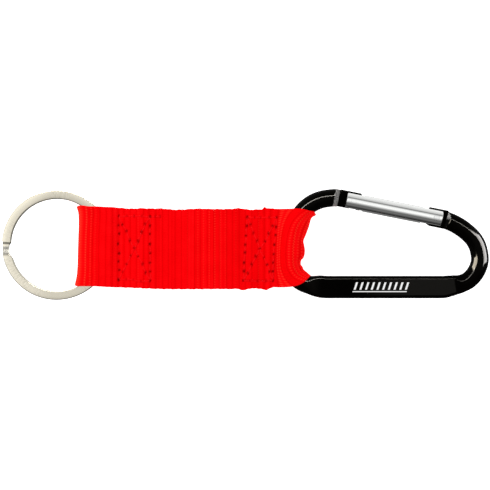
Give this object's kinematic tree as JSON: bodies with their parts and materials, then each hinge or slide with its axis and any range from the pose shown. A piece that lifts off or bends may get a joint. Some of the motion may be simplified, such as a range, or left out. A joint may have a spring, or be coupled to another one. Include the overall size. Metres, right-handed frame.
{
  "type": "carabiner keyring",
  "caption": "Keyring with a spring-gate carabiner, a folded and box-stitched webbing strap and a flat-wire split ring.",
  "frame": {"origin": "on the flat back face of the carabiner's spine, on its centre line, halfway along its straight run (to 0.3 mm)", "axes": "+X along the strap from the split ring to the carabiner's hinge end, +Y from the spine to the gate, +Z out of the plane of the carabiner, towards its front"},
  "size_m": [0.1519, 0.0345, 0.0082],
  "materials": {
    "body_black": "gloss black anodised aluminium",
    "gate_satin": "satin, natural",
    "pin_steel": "plain turned",
    "spring_steel": "drawn wire",
    "ring_nickel": "bright nickel plate",
    "webbing_red": "woven webbing with fine cross ribs",
    "thread_red": "twisted sewing thread"
  },
  "bodies": {
    "carabiner": {"carabiner_body": "body_black", "hinge_rivet": "pin_steel", "webbing_carabiner_loop": "webbing_red"},
    "gate": {"gate": "gate_satin", "latch_pin": "pin_steel", "gate_spring": "spring_steel"},
    "plunger": {"spring_plunger": "pin_steel"},
    "strap_carabiner_half": {"webbing_carabiner_end": "webbing_red", "needle_thread_carabiner_end": "thread_red", "bobbin_thread_carabiner_end": "thread_red"},
    "strap_ring_half": {"webbing_ring_end": "webbing_red", "needle_thread_ring_end": "thread_red", "bobbin_thread_ring_end": "thread_red"},
    "ring_loop": {"webbing_ring_loop": "webbing_red"},
    "ring": {"split_ring": "ring_nickel"}
  },
  "joints": [
    {"name": "gate_hinge", "type": "hinge", "parent": "carabiner", "child": "gate", "pos_m": [0.0174, 0.02168, 0.002], "axis": [0, 0, 1], "range_deg": [0, 30], "stiffness_Nm_per_rad": 0.03, "springref_deg": -20.05},
    {"name": "plunger_slide", "type": "slide", "parent": "gate", "child": "plunger", "axis": [-0.981, 0.1942, 0], "range_m": [0, 0.00091], "deforming": ["gate_spring"]},
    {"name": "strap_swing", "type": "hinge", "parent": "carabiner", "child": "strap_carabiner_half", "pos_m": [-0.0278, 0.0122, 0.002], "axis": [0, 1, 0], "range_deg": [-75, 75]},
    {"name": "strap_bend", "type": "hinge", "parent": "strap_carabiner_half", "child": "strap_ring_half", "pos_m": [-0.0566, 0.01234, 0.00255], "axis": [0, 1, 0], "range_deg": [-85, 85]},
    {"name": "ring_swing", "type": "hinge", "parent": "strap_ring_half", "child": "ring_loop", "pos_m": [-0.0819, 0.0129, 0.002], "axis": [0, 1, 0], "range_deg": [-58, 58]},
    {"name": "ring_spin", "type": "hinge", "parent": "ring_loop", "child": "ring", "pos_m": [-0.10094, 0.01311, 0.002], "axis": [0, 0, 1], "continuous": true}
  ],
  "couplings": [
    {"joint": "plunger_slide", "follows": "gate_hinge", "m_per_rad": 0.0017189}
  ]
}
